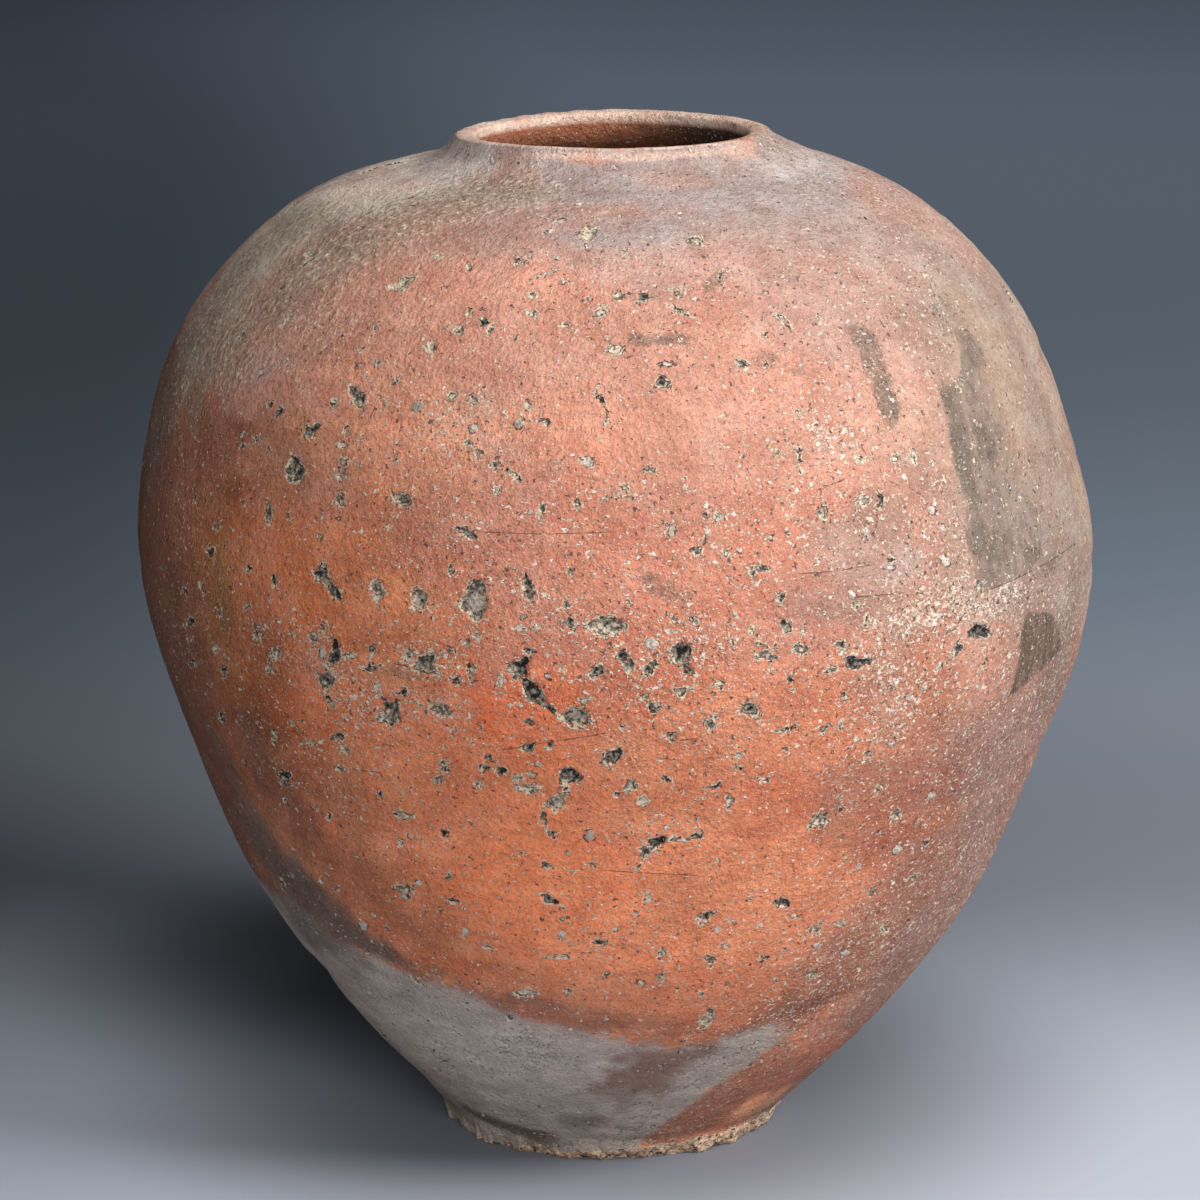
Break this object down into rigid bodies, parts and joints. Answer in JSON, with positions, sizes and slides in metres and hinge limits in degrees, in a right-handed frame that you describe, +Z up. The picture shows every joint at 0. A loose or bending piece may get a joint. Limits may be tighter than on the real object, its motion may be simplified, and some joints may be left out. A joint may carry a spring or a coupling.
{
  "type": "storage jar",
  "caption": "Hand-built stoneware storage jar with a wide round belly, narrow flat foot and short low lip; unglazed iron-red clay with grey ash bloom.",
  "frame": {"origin": "on the floor, under the middle of the jar's outline", "axes": "+Z up through the mouth; -Y is the side seen in the picture, +X is its right"},
  "size_m": [0.4246, 0.4218, 0.45],
  "materials": {
    "body_clay": "unglazed, matt, gritty",
    "ash_clay": "unglazed, matt, dry ash bloom",
    "foot_clay": "unglazed, rough, sandy"
  },
  "bodies": {
    "root": {"base_slab": "foot_clay", "inner_coil": "body_clay", "heel_wall": "body_clay", "lower_wall": "body_clay", "belly_wall": "body_clay", "haunch_wall": "body_clay", "shoulder_wall": "body_clay", "crown_wall": "ash_clay", "neck_and_lip": "ash_clay"}
  },
  "joints": []
}
